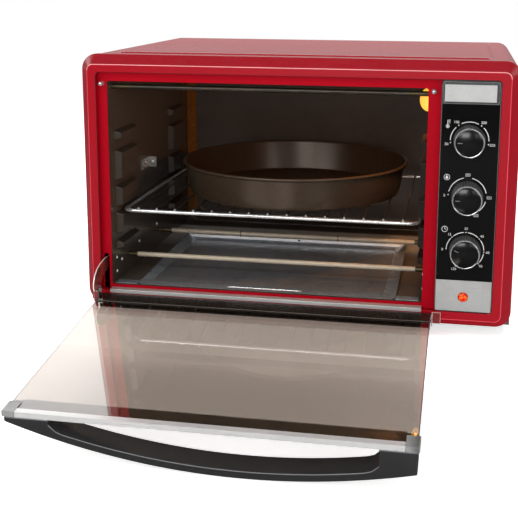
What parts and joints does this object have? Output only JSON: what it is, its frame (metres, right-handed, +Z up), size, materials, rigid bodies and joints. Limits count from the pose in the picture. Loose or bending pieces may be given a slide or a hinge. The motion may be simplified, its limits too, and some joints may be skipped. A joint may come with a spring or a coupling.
{
  "type": "mini oven",
  "caption": "Countertop oven with a drop-down glass door and bow handle, turning dial knobs, heating rods, lamp, sliding wire rack, round pan and crumb tray.",
  "frame": {"origin": "centre of the underside of the base panel", "axes": "+Z up, +Y from the door to the back, +X to the right as seen from the front"},
  "size_m": [0.55, 0.7073, 0.4013],
  "materials": {
    "red_paint": "smooth semi-gloss red paint",
    "zinc_sheet": "plain galvanised sheet, satin",
    "cavity_sheet": "aluminised sheet, satin, slightly warm grey",
    "brushed_steel": "horizontally brushed stainless steel",
    "moulding": "dark grey metallic moulding",
    "gloss_black": "gloss black",
    "red_lens": "translucent red, faceted",
    "black_plastic": "satin black",
    "heater_rod": "warm grey sheathed rod with dark cold ends",
    "clear_glass": "clear, slightly warm",
    "ceramic": "off-white ceramic",
    "chrome": "bright chrome plate",
    "rubber": "matt black rubber",
    "bright_steel": "zinc-plated steel",
    "tinted_glass": "grey-brown tinted toughened glass",
    "aluminium": "satin anodised",
    "black_paint": "semi-gloss black paint",
    "pan_coating": "dark grey-brown non-stick coating, satin"
  },
  "bodies": {
    "housing": {"front_frame": "red_paint", "outer_casing": "red_paint", "door_surround": "red_paint", "rear_panel": "zinc_sheet", "base_panel": "zinc_sheet", "cavity_left_wall": "cavity_sheet", "cavity_right_wall": "cavity_sheet", "cavity_top": "cavity_sheet", "cavity_bottom": "cavity_sheet", "cavity_rear": "cavity_sheet", "threshold_strip": "brushed_steel", "badge_plate": "brushed_steel", "lower_plate": "brushed_steel", "control_panel": "moulding", "dial_plate": "gloss_black", "indicator_lens": "red_lens", "thermostat": "black_plastic", "selector_switch": "black_plastic", "timer": "black_plastic", "heater_lower_front": "heater_rod", "heater_lower_rear": "heater_rod", "heater_upper_front": "heater_rod", "heater_upper_rear": "heater_rod", "lamp_cover": "clear_glass", "lamp_bulb": "clear_glass", "lamp_socket": "ceramic", "sensor_bracket": "chrome", "door_buffer_left": "chrome", "door_buffer_right": "chrome", "foot_front_left": "rubber", "foot_front_right": "rubber", "foot_back_left": "rubber", "foot_back_right": "rubber", "hinge_bracket_left": "bright_steel", "hinge_bracket_right": "bright_steel", "hinge_pin_left": "bright_steel", "hinge_pin_right": "bright_steel"},
    "door": {"door_glass": "tinted_glass", "door_top_rail": "aluminium", "door_cap_left": "aluminium", "door_cap_right": "aluminium", "handle": "black_plastic", "door_bottom_rail": "black_paint", "hinge_plate": "bright_steel"},
    "arm": {"hinge_arm": "bright_steel"},
    "rack_body": {"rack": "chrome"},
    "pan_body": {"pan": "pan_coating"},
    "tray_body": {"crumb_tray": "zinc_sheet", "tray_bail": "chrome"},
    "thermostat_dial": {"thermostat_knob": "gloss_black", "thermostat_ring": "chrome", "thermostat_spindle": "bright_steel"},
    "selector_dial": {"selector_knob": "gloss_black", "selector_ring": "chrome", "selector_spindle": "bright_steel"},
    "timer_dial": {"timer_knob": "gloss_black", "timer_ring": "chrome", "timer_spindle": "bright_steel"}
  },
  "joints": [
    {"name": "door_hinge", "type": "hinge", "parent": "housing", "child": "door", "pos_m": [-0.036, -0.2123, 0.0143], "axis": [-1, 0, 0], "range_deg": [0, 97.1]},
    {"name": "arm_pivot", "type": "hinge", "parent": "door", "child": "arm", "pos_m": [-0.2476, -0.22792, 0.03452], "axis": [-1, 0, 0], "range_deg": [-97.1, 0]},
    {"name": "rack_slide", "type": "slide", "parent": "housing", "child": "rack_body", "axis": [0, 1, 0], "range_m": [-0.25, 0]},
    {"name": "pan_lift", "type": "slide", "parent": "rack_body", "child": "pan_body", "axis": [0, 0, 1], "range_m": [0, 0.05]},
    {"name": "tray_slide", "type": "slide", "parent": "housing", "child": "tray_body", "axis": [0, 1, 0], "range_m": [-0.25, 0]},
    {"name": "thermostat_turn", "type": "hinge", "parent": "housing", "child": "thermostat_dial", "pos_m": [0.2158, -0.205, 0.236], "axis": [0, 1, 0], "range_deg": [0, 180]},
    {"name": "selector_turn", "type": "hinge", "parent": "housing", "child": "selector_dial", "pos_m": [0.2158, -0.205, 0.1685], "axis": [0, 1, 0], "range_deg": [0, 270]},
    {"name": "timer_turn", "type": "hinge", "parent": "housing", "child": "timer_dial", "pos_m": [0.2158, -0.205, 0.101], "axis": [0, 1, 0], "range_deg": [-22, 278]}
  ],
  "couplings": [
    {"joint": "arm_pivot", "follows": "door_hinge", "ratio": -1}
  ]
}
